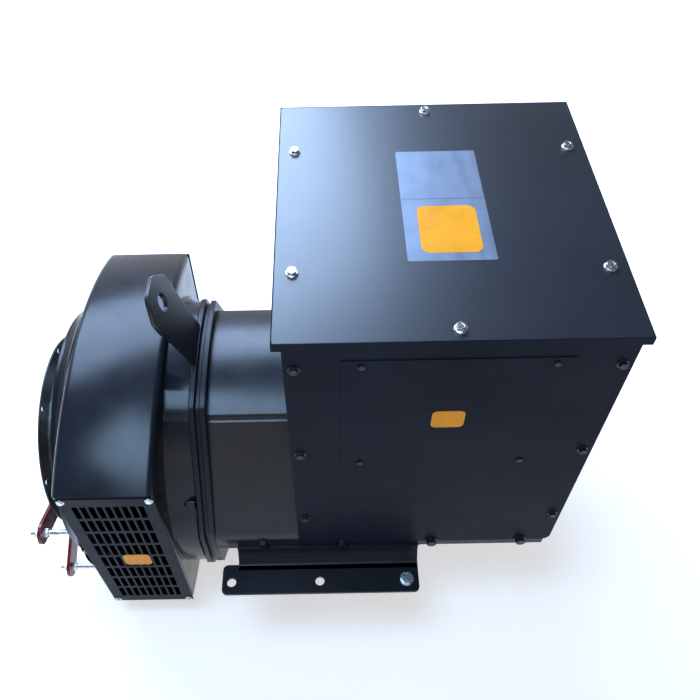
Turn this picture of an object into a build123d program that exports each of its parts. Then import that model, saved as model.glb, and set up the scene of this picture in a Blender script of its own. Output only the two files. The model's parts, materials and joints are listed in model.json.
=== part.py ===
"""Single-bearing brushless alternator head. Millimetres; the shaft lies along X, Z is up.

The origin is the centre of the drive-end flange face; +X runs to the non-drive end.
"""

import os
from math import cos, radians, sin

from build123d import *

os.makedirs("parts", exist_ok=True)

# Driving sizes
FLANGE_R = 225.5        # drive-end flange, 451 mm across
FLANGE_BOLT_R = 214.3   # twelve bolts on 428.6 mm
FLANGE_HOLE_R = 5.5
SPIGOT_R = 204.8
DISC_R = 176.2          # coupling disc, 352.4 mm across
DISC_BOLT_R = 166.7     # eight bolts on 333.4 mm
DISC_X = -39.6          # disc face ahead of the flange face
HOUSING_Y = 260.0       # half width of the drive-end housing
HOUSING_Z = 203.0       # half height of its flat sides
HOUSING_TOP = 264.0
HOUSING_X0 = 32.0
HOUSING_X1 = 187.0
WALL = 8.0
BARREL_R = 248.0
BARREL_BORE_R = 216.0
RING_X0 = 228.0
RING_X1 = 254.0
CORE_R = 196.0
CORE_BORE_R = 130.0
CORE_X0 = 300.0
CORE_X1 = 560.0
AIR_GAP = 1.5
SHAFT_R = 38.0
WRAP_X1 = 604.0
SIDE_Y = CORE_R + 44    # outside of the wrap's upright sides
SHEET = 2.0
RING_FLAT = SIDE_Y + SHEET
SEAM = 0.3              # kept between pieces that only pass each other
RUN = 0.05              # radial running clearance
BOX_X0 = 396.0
BOX_X1 = 822.0
BOX_Y = SIDE_Y + SHEET
BOX_Z0 = -6.0
BOX_Z1 = 517.0
LID_X0 = 384.0
LID_X1 = 834.0
LID_Z = 530.0
FOOT_X0 = 262.0
FOOT_X1 = 600.0
FOOT_Y0 = SIDE_Y + 20
FOOT_Y1 = FOOT_Y0 + 52
FOOT_Z = -50.0
FOOT_T = 6.0
FOOT_HOLES = (278.0, 430.0, 579.0)
FOOT_HOLE_Y = FOOT_Y0 + 31
FOOT_HOLE_R = 8.0
SIDE_BOLTS = (334.0, 468.0, 621.5, 773.0)


def yz(x):
    return Plane.YZ.offset(x)


def cyl(x0, x1, r, y=0.0, z=0.0):
    return extrude(yz(x0) * Pos(y, z) * Circle(r), x1 - x0)


def tube(x0, x1, outer, inner, y=0.0, z=0.0):
    return cyl(x0, x1, outer, y, z) - cyl(x0 - 1, x1 + 1, inner, y, z)


def block(x0, x1, y0, y1, z0, z1):
    return Pos((x0 + x1) / 2, (y0 + y1) / 2, (z0 + z1) / 2) * Box(x1 - x0, y1 - y0, z1 - z0)


def across(x, z, r, length):
    """Cylinder along Y, centred on Y = 0."""
    return Pos(x, 0, z) * Rot(90, 0, 0) * Cylinder(r, length)


def around(count, radius, start=0.0):
    for k in range(count):
        a = radians(start + 360.0 * k / count)
        yield radius * cos(a), radius * sin(a)


def other_side(shape):
    return mirror(shape, Plane.XZ)


def save(name, *pieces):
    flat = []
    for piece in pieces:
        flat.extend(piece.solids())
    shape = flat[0] if len(flat) == 1 else Compound(children=flat)
    export_step(shape, f"parts/{name}.step")


def bolt(origin, out, shank_r, length, head_r, head_t, washer_r=0.0, washer_t=0.0):
    """Hexagon bolt: head standing out of the face at origin, shank going in."""
    side = (1, 0, 0) if abs(out[0]) < 0.5 else (0, 1, 0)
    face = Plane(origin=origin, x_dir=side, z_dir=out)
    shape = extrude(face * Circle(shank_r), -length)
    if washer_r:
        shape += extrude(face * Circle(washer_r), washer_t)
    shape += extrude(face.offset(washer_t) * RegularPolygon(head_r, 6), head_t)
    return shape


# Drive-end housing: flange, nose, flat-sided shell and the barrel behind it
def arch(y, z, top):
    edge = Line((-y, z), (-y, -z)) + ThreePointArc((-y, -z), (0, -top), (y, -z))
    edge += Line((y, -z), (y, z)) + ThreePointArc((y, z), (0, top), (-y, z))
    return make_face(edge)


shell = extrude(yz(HOUSING_X0) * arch(HOUSING_Y, HOUSING_Z, HOUSING_TOP), HOUSING_X1 - HOUSING_X0)
room = extrude(
    yz(HOUSING_X0 + WALL) * arch(HOUSING_Y - WALL, HOUSING_Z - 4, HOUSING_TOP - WALL),
    HOUSING_X1 - HOUSING_X0 - 2 * WALL,
)
NOSE = [(0, 0), (HOUSING_X0, 0), (HOUSING_X0, HOUSING_TOP - 4), (14, FLANGE_R + 4), (12, FLANGE_R),
        (0, FLANGE_R)]
MOUTH = [(-1, 0), (HOUSING_X0 + WALL, 0), (HOUSING_X0 + WALL, HOUSING_TOP - 22), (14, SPIGOT_R), (-1, SPIGOT_R)]
nose = revolve(Plane.XZ * Polygon(*NOSE, align=None), Axis.X)
mouth = revolve(Plane.XZ * Polygon(*MOUTH, align=None), Axis.X)
adaptor = shell + nose + cyl(HOUSING_X1, RING_X0, BARREL_R)
adaptor = adaptor - room - mouth - cyl(HOUSING_X1 - WALL - 1, RING_X0 + 1, BARREL_BORE_R)
for y, z in around(12, FLANGE_BOLT_R, 15):
    adaptor -= cyl(-1, 60, FLANGE_HOLE_R, y, z)
    adaptor -= cyl(14, 40, FLANGE_HOLE_R + 5, y, z)
WINDOW_X0 = 54.0
WINDOW_X1 = 172.0
WINDOW_Z = 186.0
for side in (-1, 1):
    y0, y1 = sorted((side * (HOUSING_Y - WALL - 5), side * (HOUSING_Y + 5)))
    adaptor -= block(WINDOW_X0, WINDOW_X1, y0, y1, -WINDOW_Z, WINDOW_Z)
GRILLE_X0 = 39.0
GRILLE_X1 = HOUSING_X1
GRILLE_Z = 200.0
GRILLE_SCREWS = [(x, z) for x in (46.5, 179.5) for z in (-193.0, 193.0)]
for x, z in GRILLE_SCREWS:
    adaptor -= across(x, z, 2.6, 2 * HOUSING_Y + 20)
RING_BOLT_R = 228.0
RING_BOLTS = list(around(8, RING_BOLT_R, 22.5))
for y, z in RING_BOLTS:
    adaptor -= cyl(RING_X0 - 24, RING_X0 + 1, 4.3, y, z)
BAR_HOLE_R = 5.3
TOP_BAR = (FLANGE_BOLT_R - 2, -10.0)    # half the hole distance and the height of each transit bar
LOW_BAR = (200.0, -183.0)
for side in (-1, 1):
    adaptor -= cyl(HOUSING_X0 - 1, HOUSING_X0 + WALL + 1, BAR_HOLE_R, side * LOW_BAR[0], LOW_BAR[1])
    adaptor -= cyl(-1, 15, BAR_HOLE_R, side * TOP_BAR[0], TOP_BAR[1])
    adaptor -= cyl(14, 40, BAR_HOLE_R + 5, side * TOP_BAR[0], TOP_BAR[1])
save("de_adaptor", adaptor)

# Grilles over the side openings
plate = block(GRILLE_X0, GRILLE_X1, -HOUSING_Y - SHEET, -HOUSING_Y, -GRILLE_Z, GRILLE_Z)
slots = []
for i in range(9):
    for j in range(8):
        x = (GRILLE_X0 + GRILLE_X1) / 2 + 12.7 * (i - 4)
        z = 45.0 * (j - 3.5)
        slots.append(block(x - 4.4, x + 4.4, -HOUSING_Y - 5, -HOUSING_Y + 5, z - 19, z + 19))
plate = plate - slots
for x, z in GRILLE_SCREWS:
    plate -= across(x, z, 2.8, 2 * HOUSING_Y + 20)
save("de_grille_front", plate)
save("de_grille_rear", other_side(plate))
screws = []
for x, z in GRILLE_SCREWS:
    for side in (-1, 1):
        face = (x, side * (HOUSING_Y + SHEET), z)
        screws.append(bolt(face, (0, side, 0), 2.5, 9, 4.6, 2.2, 6.3, 1.2))
save("grille_screws", *screws)

# Joint ring: eight-sided collar between the barrel and the wrap
collar = Rot(0, 0, 22.5) * RegularPolygon(RING_FLAT, 8, major_radius=False)
ring = extrude(yz(RING_X0) * collar, RING_X1 - RING_X0) & cyl(RING_X0, RING_X1, 254)
ring -= cyl(RING_X0 - 1, RING_X1 + 1, CORE_R - 8)
for y, z in RING_BOLTS:
    ring -= cyl(RING_X0 - 1, RING_X1 + 1, 4.3, y, z)
    ring -= cyl(RING_X0 + 12, RING_X1 + 1, 10, y, z)
save("de_ring", ring)
heads = []
for y, z in RING_BOLTS:
    heads.append(bolt((RING_X0 + 12, y, z), (1, 0, 0), 4.0, 30, 7.5, 5.5, 8.5, 1.5))
save("ring_bolts", *heads)

# Lifting lug standing on the barrel
LUG_X0 = 188.0
LUG_X1 = 196.0
LUG_TOP = 380.0
half = [(22, LUG_TOP), (45, LUG_TOP - 7), (54, LUG_TOP - 24), (54, LUG_TOP - 56), (42, LUG_TOP - 90), (40, 236)]
outline = Polyline(*half, *[(-y, z) for y, z in reversed(half)], half[0])
lug = extrude(yz(LUG_X0) * make_face(outline), LUG_X1 - LUG_X0)
lug = lug - cyl(LUG_X0 - 1, LUG_X1 + 1, 14, 0, LUG_TOP - 35) - cyl(LUG_X0 - 1, LUG_X1 + 1, BARREL_R)
save("lifting_lug", lug)

# Stator core, its bars and windings
core = tube(CORE_X0, CORE_X1, CORE_R, CORE_BORE_R)
for y, z in around(36, CORE_BORE_R, 5):
    core -= cyl(CORE_X0 - 1, CORE_X1 + 1, 3.4, y, z)
save("stator_core", core)
bars = []
for k in range(8):
    bar = block(RING_X1, WRAP_X1, -15, 15, CORE_R - 2, CORE_R + 5) - cyl(RING_X1 - 1, WRAP_X1 + 1, CORE_R)
    bars.append(Rot(45.0 * k + 22.5, 0, 0) * bar)
save("stator_bars", *bars)
for name, x0, x1 in (("stator_coil_de", CORE_X0 - 40, CORE_X0), ("stator_coil_nde", CORE_X1, CORE_X1 + 38)):
    coil = tube(x0, x1, CORE_R - 12, CORE_R - 56)
    save(name, fillet(coil.edges().filter_by(GeomType.CIRCLE), 8))

# Folded sheet wrap round the core, in an upper and a lower half
def wrap_face(inset):
    s = SIDE_Y - inset
    top = CORE_R + 27 - inset
    fold = CORE_R - 83 - 0.43 * inset
    right = [(fold - 53, top - 5), (fold, top - 24), (s - 3, 14), (s, 6), (s, -25), (s - 3, -33),
             (fold, 24 - top), (fold - 53, 5 - top)]
    left = [(-y, z) for y, z in reversed(right)]
    points = [(0, top), *right, (0, -top), *left]
    return make_face(Polyline(*points, points[0]))


wrap = extrude(yz(RING_X1) * wrap_face(0), WRAP_X1 - RING_X1)
wrap -= extrude(yz(RING_X1 - 1) * wrap_face(SHEET), WRAP_X1 - RING_X1 + 2)
SPLIT = -12.0
upper = wrap & block(RING_X1, WRAP_X1, -300, 300, SPLIT, 300)
lower = wrap & block(RING_X1, WRAP_X1, -300, 300, -300, SPLIT - SEAM)
for x in SIDE_BOLTS[:2]:
    upper -= across(x, -3, 5.3, 600)
save("wrap_upper", upper)
save("wrap_lower", lower)

# Side rails that carry the box and the feet
RAIL_Z0 = -24.0
RAIL_Z1 = 5.0
rail = block(RING_X1, BOX_X1 - 8, -SIDE_Y + SHEET, -SIDE_Y + 16, RAIL_Z0, RAIL_Z1)
rail += block(WRAP_X1 + SEAM, BOX_X1 - 8, -SIDE_Y, -SIDE_Y + 16, RAIL_Z0, RAIL_Z1)
for x in SIDE_BOLTS:
    rail -= across(x, -3, 5.3, 600)
save("rail_front", rail)
save("rail_rear", other_side(rail))
side_screws = []
for i, x in enumerate(SIDE_BOLTS):
    for side in (-1, 1):
        face = (x, side * (SIDE_Y if i == 0 else BOX_Y), -3)
        side_screws.append(bolt(face, (0, side, 0), 5.0, 20, 8.5, 6.4, 11, 1.6))
save("side_bolts", *side_screws)

# Feet
LEG_Z = -16.0
leg = [(-SIDE_Y, LEG_Z), (-SIDE_Y - 6, LEG_Z), (-SIDE_Y - 6, -26),
       (-FOOT_Y0 - 2, FOOT_Z), (-FOOT_Y1, FOOT_Z), (-FOOT_Y1, FOOT_Z - FOOT_T),
       (-FOOT_Y0 + 1, FOOT_Z - FOOT_T), (-SIDE_Y, -28)]
foot = extrude(yz(FOOT_X0 + 27) * make_face(Polyline(*leg, leg[0])), FOOT_X1 - FOOT_X0 - 27)
foot += block(FOOT_X0, FOOT_X1, -FOOT_Y1, -FOOT_Y0, FOOT_Z - FOOT_T, FOOT_Z)
foot -= Pos(FOOT_X0, -FOOT_Y1, FOOT_Z) * Rot(0, 0, 45) * Box(20, 20, 40)
for x in FOOT_HOLES:
    foot -= Pos(x, -FOOT_HOLE_Y, FOOT_Z) * Cylinder(FOOT_HOLE_R, 40)
save("foot_front", foot)
save("foot_rear", other_side(foot))
foot_screws = []
for side in (-1, 1):
    face = (FOOT_HOLES[2], side * FOOT_HOLE_Y, FOOT_Z)
    foot_screws.append(bolt(face, (0, 0, 1), 6, 30, 10.5, 7.5, 12, 2.5))
save("foot_bolts", *foot_screws)

# Non-drive-end bracket with its bearing seat
BEARING_X0 = 616.0
BEARING_X1 = 640.0
BEARING_R = 60.0
SEAT_R = 40.0
bracket = extrude(yz(WRAP_X1) * wrap_face(0), 12)
for s in (-1, 1):
    bracket -= block(WRAP_X1 - 1, WRAP_X1 + 13, s * SIDE_Y - 17, s * SIDE_Y + 17, -40, 30)
bracket += cyl(WRAP_X1 + 12, BEARING_X1 + 6, BEARING_R + 15)
bracket += tube(WRAP_X1 + 12, BEARING_X1 + 12, 135, 112)
bracket -= cyl(WRAP_X1 - 1, BEARING_X0, 48)
bracket -= cyl(BEARING_X0, BEARING_X1 + 7, BEARING_R)
for y, z in around(6, 165, 30):
    bracket -= cyl(WRAP_X1 - 1, WRAP_X1 + 13, 20, y, z)
save("nde_bracket", bracket)
save("bearing_outer", tube(BEARING_X0, BEARING_X1, BEARING_R, 52))
save("bearing_inner", tube(BEARING_X0, BEARING_X1, 52 - RUN, 32))
EXCITER_X0 = BEARING_X1 + 12
EXCITER_X1 = EXCITER_X0 + 40
exciter = tube(EXCITER_X0, EXCITER_X1, 130, 92)
for y, z in around(12, 92):
    exciter -= cyl(EXCITER_X0 - 1, EXCITER_X1 + 1, 5, y, z)
save("exciter_stator", exciter)

# Louvred cover over the exciter end
COVER_X1 = 770.0
COVER_R = 160.0
cover = cyl(WRAP_X1 + 12, COVER_X1, COVER_R) - cyl(WRAP_X1 + 11, COVER_X1 - SHEET, COVER_R - SHEET)
for k in range(7):
    z = 22.0 * (k - 3)
    cover -= block(COVER_X1 - 6, COVER_X1 + 6, -90, 90, z - 4, z + 4)
save("nde_cover", cover)

# Rotor
shaft = cyl(30, CORE_X1 + 30, SHAFT_R) + cyl(CORE_X1 + 30, 720, 32)
save("shaft", shaft)
ROTOR_R = CORE_BORE_R - AIR_GAP
poles = tube(CORE_X0, CORE_X1, ROTOR_R, SHAFT_R)
for k in range(4):
    slot = block(CORE_X0 - 1, CORE_X1 + 1, -22, 22, 84, 200)
    poles -= Rot(90.0 * k, 0, 0) * slot
save("rotor_core", poles)
for name, x0, x1 in (("rotor_coil_de", CORE_X0 - 34, CORE_X0), ("rotor_coil_nde", CORE_X1, CORE_X1 + 34)):
    end = tube(x0, x1, ROTOR_R - 6, 62)
    save(name, fillet(end.edges().filter_by(GeomType.CIRCLE), 7))
hub = cyl(DISC_X + 3, DISC_X + 23, 140) + cyl(DISC_X + 23, 150, 68)
hub = hub - cyl(DISC_X - 1, 30, 30) - cyl(30, 151, SHAFT_R)
DISC_SCREWS = list(around(8, 112))
for y, z in DISC_SCREWS:
    hub -= cyl(DISC_X - 1, DISC_X + 30, 5.2, y, z)
save("hub", hub)
disc = tube(DISC_X, DISC_X + 3, DISC_R, 30)
for y, z in around(8, DISC_BOLT_R, 22.5):
    disc -= cyl(DISC_X - 1, DISC_X + 4, 5.5, y, z)
for y, z in DISC_SCREWS:
    disc -= cyl(DISC_X - 1, DISC_X + 4, 5.2, y, z)
save("coupling_disc", disc)
screws = []
for y, z in DISC_SCREWS:
    screws.append(bolt((DISC_X, y, z), (-1, 0, 0), 5.0, 20, 8, 5))
save("disc_bolts", *screws)
FAN_R = BARREL_BORE_R - 8
fan = tube(160, 208, 68, SHAFT_R) + tube(202, 208, FAN_R, 60)
for k in range(12):
    fan += Rot(30.0 * k, 0, 0) * block(152, 203, -2.5, 2.5, 120, FAN_R - 1)
save("fan", fan)
save("exciter_rotor", tube(EXCITER_X0, EXCITER_X1, 90.5, 32))
rectifier = tube(EXCITER_X1 + 6, EXCITER_X1 + 14, 84, 32)
for y, z in around(6, 58):
    rectifier += cyl(EXCITER_X1 + 14, EXCITER_X1 + 24, 8, y, z)
save("rectifier", rectifier)

# Terminal box: side panels, end panels, floor, lid
side = block(BOX_X0, BOX_X1, -BOX_Y, -SIDE_Y, BOX_Z0, BOX_Z1)
side = fillet(side.edges().filter_by(Axis.Y).group_by(Axis.Z)[0].sort_by(Axis.X)[-1], 15)
for x in SIDE_BOLTS[1:]:
    side -= across(x, -3, 5.3, 600)
REG_X0 = 466.0
REG_X1 = 752.0
REG_Z0 = 250.0
REG_Z1 = 498.0
PANEL_SCREWS = [(x, z) for x in (409.5, 808.5) for z in (90.0, 285.0, 482.0)]
REG_SCREWS = [(492.0, 487.0), (728.0, 487.0), (494.0, 263.0), (723.0, 263.0)]
for x, z in PANEL_SCREWS:
    side -= across(x, z, 3.2, 600)
rear = other_side(side)
front = side - block(REG_X0 + 16, REG_X1 - 16, -300, -200, REG_Z0 + 24, REG_Z1 - 24)
for x, z in REG_SCREWS:
    front -= across(x, z, 3.2, 600) & block(0, 900, -300, 0, 0, 600)
save("box_side_front", front)
save("box_side_rear", rear)
cover = block(REG_X0, REG_X1, -BOX_Y - 1.5, -BOX_Y, REG_Z0, REG_Z1)
for x, z in REG_SCREWS:
    cover -= across(x, z, 3.2, 600)
save("regulator_cover", cover)
screws = []
for x, z in PANEL_SCREWS:
    for s in (-1, 1):
        screws.append(bolt((x, s * BOX_Y, z), (0, s, 0), 3.0, 12, 5.8, 4.5, 8, 1.2))
for x, z in REG_SCREWS:
    screws.append(bolt((x, -BOX_Y - 1.5, z), (0, -1, 0), 3.0, 10, 4.5, 2.5))
save("panel_screws", *screws)
flange = 20.0


def end_panel(x, out):
    """Pressed end panel with side and top flanges turned inwards; out is its outer side."""
    x_in = x - out * SHEET
    a, b = sorted((x, x_in))
    c, d = sorted((x_in, x_in - out * flange))
    shape = block(a, b, -SIDE_Y, SIDE_Y, 230, LID_Z - SHEET)
    for s in (-1, 1):
        y0, y1 = sorted((s * SIDE_Y, s * (SIDE_Y - SHEET)))
        shape += block(min(a, c), max(b, d), y0, y1, RAIL_Z1 + 15, LID_Z - SHEET)
    shape += block(min(a, c), max(b, d), -SIDE_Y, SIDE_Y, LID_Z - 2 * SHEET, LID_Z - SHEET)
    return shape


de_panel = end_panel(BOX_X0, -1)
nde_panel = end_panel(BOX_X1, 1)
nde_panel += block(BOX_X1 - SHEET, BOX_X1, -SIDE_Y, SIDE_Y, RAIL_Z1 + 15, 240)
LID_BOLTS = [(x, y) for x in (408.2, 809.8) for y in (-125.3, 125.3)]
for x, z in PANEL_SCREWS:
    de_panel -= across(x, z, 3.2, 600)
    nde_panel -= across(x, z, 3.2, 600)
for k in range(8):
    z = 300.0 + 22.0 * k
    nde_panel -= block(BOX_X1 - 5, BOX_X1 + 5, -90, 90, z - 4, z + 4)
cable = Pos(BOX_X1, 0, 120) * Rot(0, 90, 0)
nde_panel -= cable * Cylinder(45, 20)
for x, y in LID_BOLTS:
    hole = Pos(x, y, LID_Z) * Cylinder(4.3, 40)
    de_panel -= hole
    nde_panel -= hole
save("box_end_de", de_panel)
save("box_end_nde", nde_panel)
# Top rails of the side panels take the middle lid bolts
tops = []
MID = (LID_X0 + LID_X1) / 2
for s in (-1, 1):
    y0, y1 = sorted((s * SIDE_Y, s * (SIDE_Y - 30)))
    strip = block(BOX_X0 + 23, BOX_X1 - 23, y0, y1, LID_Z - 2 * SHEET, LID_Z - SHEET)
    y0, y1 = sorted((s * SIDE_Y, s * (SIDE_Y - SHEET)))
    strip += block(BOX_X0 + 23, BOX_X1 - 23, y0, y1, LID_Z - 24, LID_Z - SHEET)
    strip -= Pos(MID, s * (SIDE_Y - 17.1), LID_Z) * Cylinder(4.3, 40)
    tops.append(strip)
save("box_top_rails", *tops)
floor = block(BOX_X0 + 26, BOX_X1 - 26, -SIDE_Y, SIDE_Y, 236, 236 + SHEET)
for s in (-1, 1):
    y0, y1 = sorted((s * SIDE_Y, s * (SIDE_Y - SHEET)))
    floor += block(BOX_X0 + 26, BOX_X1 - 26, y0, y1, 216, 238)
floor -= Pos(520, 0, 236) * Cylinder(40, 20)
save("box_floor", floor)
lid = block(LID_X0, LID_X1, -BOX_Y, BOX_Y, BOX_Z1, LID_Z)
lid -= block(LID_X0 + SHEET, LID_X1 - SHEET, -SIDE_Y, SIDE_Y, BOX_Z1 - 1, LID_Z - SHEET)
ALL_LID = LID_BOLTS + [(MID, 17.1 - SIDE_Y), (MID, SIDE_Y - 17.1)]
for x, y in ALL_LID:
    lid -= Pos(x, y, LID_Z) * Cylinder(4.3, 40)
save("lid", lid)
save("lid_bolts", *[bolt((x, y, LID_Z), (0, 0, 1), 4.0, 16, 6.5, 5, 8.5, 1.6) for x, y in ALL_LID])

# Inside the box: terminal board and regulator
board = block(560, 740, -110, 110, 238, 262)
save("terminal_board", board)
studs = []
for x in (590, 650, 710):
    for y in (-72, -24, 24, 72):
        nut = extrude(Plane.XY.offset(262) * Pos(x, y) * RegularPolygon(9, 6), 8)
        studs.append(nut + Pos(x, y, 277) * Cylinder(5, 30))
save("terminal_studs", *studs)
regulator = block(480, 640, -SIDE_Y + 40, -SIDE_Y + 75, 238, 380)
regulator = fillet(regulator.edges().filter_by(Axis.Z), 6)
save("regulator", regulator)

# Red transit bars across the drive end
BAR_X0 = -56.0
BAR_X1 = -50.0


def transit_bar(half, z):
    strip = SlotCenterToCenter(2 * half, 40)
    bar = extrude(yz(BAR_X0) * Pos(0, z) * strip, BAR_X1 - BAR_X0)
    for s in (-1, 1):
        bar -= cyl(BAR_X0 - 1, BAR_X1 + 1, BAR_HOLE_R, s * half, z)
    return bar


save("transit_bar_upper", transit_bar(*TOP_BAR))
save("transit_bar_lower", transit_bar(*LOW_BAR))
rods = []
for (half, z), back in ((TOP_BAR, 14), (LOW_BAR, HOUSING_X0 + WALL)):
    for s in (-1, 1):
        rod = cyl(BAR_X0 - 16, back + 8, 5.0, s * half, z)
        rod += bolt((BAR_X1, s * half, z), (1, 0, 0), 5.0, 1, 8.5, 8)
        rod += bolt((BAR_X0, s * half, z), (-1, 0, 0), 5.0, 1, 8.5, 8)
        rod += bolt((back, s * half, z), (1, 0, 0), 5.0, 1, 8.5, 7)
        rods.append(rod)
save("transit_bolts", *rods)
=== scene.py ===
"""Generator alternator head: finishes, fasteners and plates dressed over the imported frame."""

import json
import math

import bmesh
import bpy
from bpy.props import FloatProperty, FloatVectorProperty, PointerProperty
from mathutils import Matrix, Vector


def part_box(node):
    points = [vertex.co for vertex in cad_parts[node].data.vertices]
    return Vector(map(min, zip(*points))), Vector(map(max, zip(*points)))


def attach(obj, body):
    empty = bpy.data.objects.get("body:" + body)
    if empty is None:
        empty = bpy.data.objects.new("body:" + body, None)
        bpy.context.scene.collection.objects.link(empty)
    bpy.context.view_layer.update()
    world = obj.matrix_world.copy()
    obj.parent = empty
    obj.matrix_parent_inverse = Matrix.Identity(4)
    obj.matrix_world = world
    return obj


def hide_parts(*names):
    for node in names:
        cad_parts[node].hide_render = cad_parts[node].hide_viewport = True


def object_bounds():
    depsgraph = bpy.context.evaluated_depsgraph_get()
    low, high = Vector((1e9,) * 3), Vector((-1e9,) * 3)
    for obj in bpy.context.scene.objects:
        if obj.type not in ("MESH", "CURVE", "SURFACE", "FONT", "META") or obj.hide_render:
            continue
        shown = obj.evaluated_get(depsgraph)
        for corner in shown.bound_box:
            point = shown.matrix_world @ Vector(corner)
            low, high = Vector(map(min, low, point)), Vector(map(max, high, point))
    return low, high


bl_info = {
    "name": "Alternator Head",
    "version": (1, 0, 0),
    "blender": (4, 5, 0),
    "location": "3D View > Sidebar > Alternator Head",
    "description": "Dresses a generator alternator head with its finishes, fasteners and plates",
    "category": "Add Mesh",
}

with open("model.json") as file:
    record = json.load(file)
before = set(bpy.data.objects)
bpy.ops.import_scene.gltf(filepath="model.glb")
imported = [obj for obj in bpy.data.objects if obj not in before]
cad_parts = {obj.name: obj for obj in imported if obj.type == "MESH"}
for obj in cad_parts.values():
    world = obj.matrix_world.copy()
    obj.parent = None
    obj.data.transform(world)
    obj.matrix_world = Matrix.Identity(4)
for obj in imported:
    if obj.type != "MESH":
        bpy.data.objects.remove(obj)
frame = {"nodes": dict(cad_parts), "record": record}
CAD_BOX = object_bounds()
LID_LOW, LID_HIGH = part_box("lid")
COVER_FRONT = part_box("regulator_cover")[0][1]
GRILLE_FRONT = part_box("de_grille_front")[0][1]

# Studio: the sky dims as it rises, between two shares of the way up
FLOOR_HALF = 9.0
FLOOR_GAP = 0.0005
FLOOR_GLOW = 0.55  # what the floor adds to its own colour, so that it stays pale
SKY_FROM, SKY_TO = 0.10, 0.50
SKY_BRIGHT, SKY_DIM = 1.0, 0.08

# Lamps: name, place, aim, width, depth, power and colour
LAMPS = (
    ("back_lamp", (-0.60, 2.0, 2.2), (0.4, 0.0, 0.4), 2.6, 1.6, 190.0, (0.48, 0.67, 1.0)),
    ("top_lamp", (-0.15, -0.5, 2.9), (0.2, 0.0, 0.2), 1.2, 1.1, 54.0, (0.45, 0.69, 1.0)),
    ("near_lamp", (0.55, -2.2, 2.7), (0.4, 0.0, 0.1), 0.9, 0.9, 9.0, (0.70, 0.80, 1.0)),
)

# Camera: its turn is in degrees
CAMERA_SENSOR = 36.0
CAMERA_LENS = 38.57
CAMERA_SHIFT = (0.0364, -0.0110)
CAMERA_PLACE = (0.4524, -0.7964, 1.2042)
CAMERA_TURN = (39.5648, 0.9307, -0.6679)

# Lid: the margin of its top coat, the foil's parts across the lid, and the screws
SKIN_MARGIN, SKIN_CORNER, SKIN_THICK = 0.0016, 0.004, 0.0001
FOIL_Y, FOIL_CORNER = 0.0065, 0.003
DIVIDER_Y, DIVIDER_WIDTH, DIVIDER_CORNER, DIVIDER_SHARE = 0.0137, 0.0012, 0.0004, 0.98
BLOCK_Y, BLOCK_SHIFT, BLOCK_CORNER = -0.0475, 0.002, 0.012
SCREW_X = (0.4082, 0.8098)
SCREW_Y, SCREW_MID_Y = 0.1253, 0.2229
SCREW_FLANGE_R, SCREW_FLANGE_T = 0.0085, 0.0022

# Tags on the upright faces, as x and z
TAG_HEIGHT_SHARE, TAG_CORNER = 0.86, 0.008
COVER_TAG_PLACE = (0.609, 0.370)
GRILLE_TAG_PLACE = (0.119, -0.016)

# Upper wrap: the fold beside the crown, the seam along the slope, and the round onto the side
WRAP_THICK = 0.0018
FOLD_IN, FOLD_DOWN = 0.127, 0.024
SLOPE_IN, SLOPE_FOOT_Z = 0.003, 0.014
SEAM = ((0.002, 0.0), (0.005, 0.0025), (0.011, 0.0025), (0.014, 0.0004))
SLOPE_ROUND = 0.006
SIDE_ROUND = ((0.0007, 0.0085), (0.0, 0.003))

# Joint ring: half of its outline from the crown down as y and z, its section as the share of
# its width and what the rim gains there, and its bolts as y and z
RING_CROWN = 0.242
RING_HALF = ((0.040, 0.2402), (0.080, 0.2348), (0.116, 0.2265), (0.121, 0.2225), (0.238, 0.030),
             (0.242, 0.018), (0.242, -0.078), (0.226, -0.115), (0.115, -0.226), (0.078, -0.242))
RING_OUTLINE = [(0.0, RING_CROWN), *RING_HALF, *((-y, z) for y, z in reversed(RING_HALF))]
RING_SECTION = ((0.0, -0.010), (0.0, 0.0), (0.34, 0.0), (0.36, -0.009), (0.62, -0.009),
                (0.64, -0.003), (1.0, -0.003), (1.0, -0.010))
RING_WALL = 0.054
RING_BOLTS = ((0.082, 0.212), (0.177, 0.105), (0.2106, -0.0873), (0.0873, -0.2106))

# Lifting lug: half width with the height above its root, then half width with the depth
# below its top
LUG_EYE_DROP, LUG_EYE_RADIUS = 0.035, 0.014
LUG_ROOT_IN, LUG_ROOT_DOWN = 0.0035, 0.001
LUG_WAIST = ((0.042, 0.0), (0.044, 0.040))
LUG_HEAD = ((0.050, 0.062), (0.0535, 0.052), (0.0535, 0.034), (0.0515, 0.027),
            (0.030, 0.0055), (0.024, 0.0015), (0.018, 0.0))

# End housing: its two rounded ends along the shaft, and the barrel's step behind them
HOUSING_ENDS = (0.187, 0.032)
HOUSING_ROUND = 0.011
HOUSING_SHARP = 50.0
BARREL_INNER, BARREL_OUTER = 0.235, 0.2525
BARREL_CLEAR, BARREL_BLEND, BARREL_BEHIND = 0.001, 0.09, 0.002

# Transit straps: bolt places at each end as y and z, and the stretch where one crosses the other
STRAP_TOP, STRAP_BOTTOM = (0.2123, -0.010), (0.200, -0.183)
STRAP_HALF, STRAP_GAP, STRAP_TIP = 0.019, 0.0003, 0.0012
STRAP_ROUND_STEPS, STRAP_STEP_DEG = 7, 15
STRAP_CROSSING = (-0.052, -0.036, 0.036, 0.052)
STRAP_LIFTED = 0.04

# Dark ring across the gap between the spigot and the coupling disc, painted shade where the floor
# would show through the grille: its section, as x and radius
SHADE_RING_SECTION = ((0.004, 0.2045), (0.0055, 0.2045), (0.0055, 0.150), (0.010, 0.146),
                 (0.010, 0.1445), (0.0045, 0.1475), (0.004, 0.1495))
SHADE_RING_SIDES = 96

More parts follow.
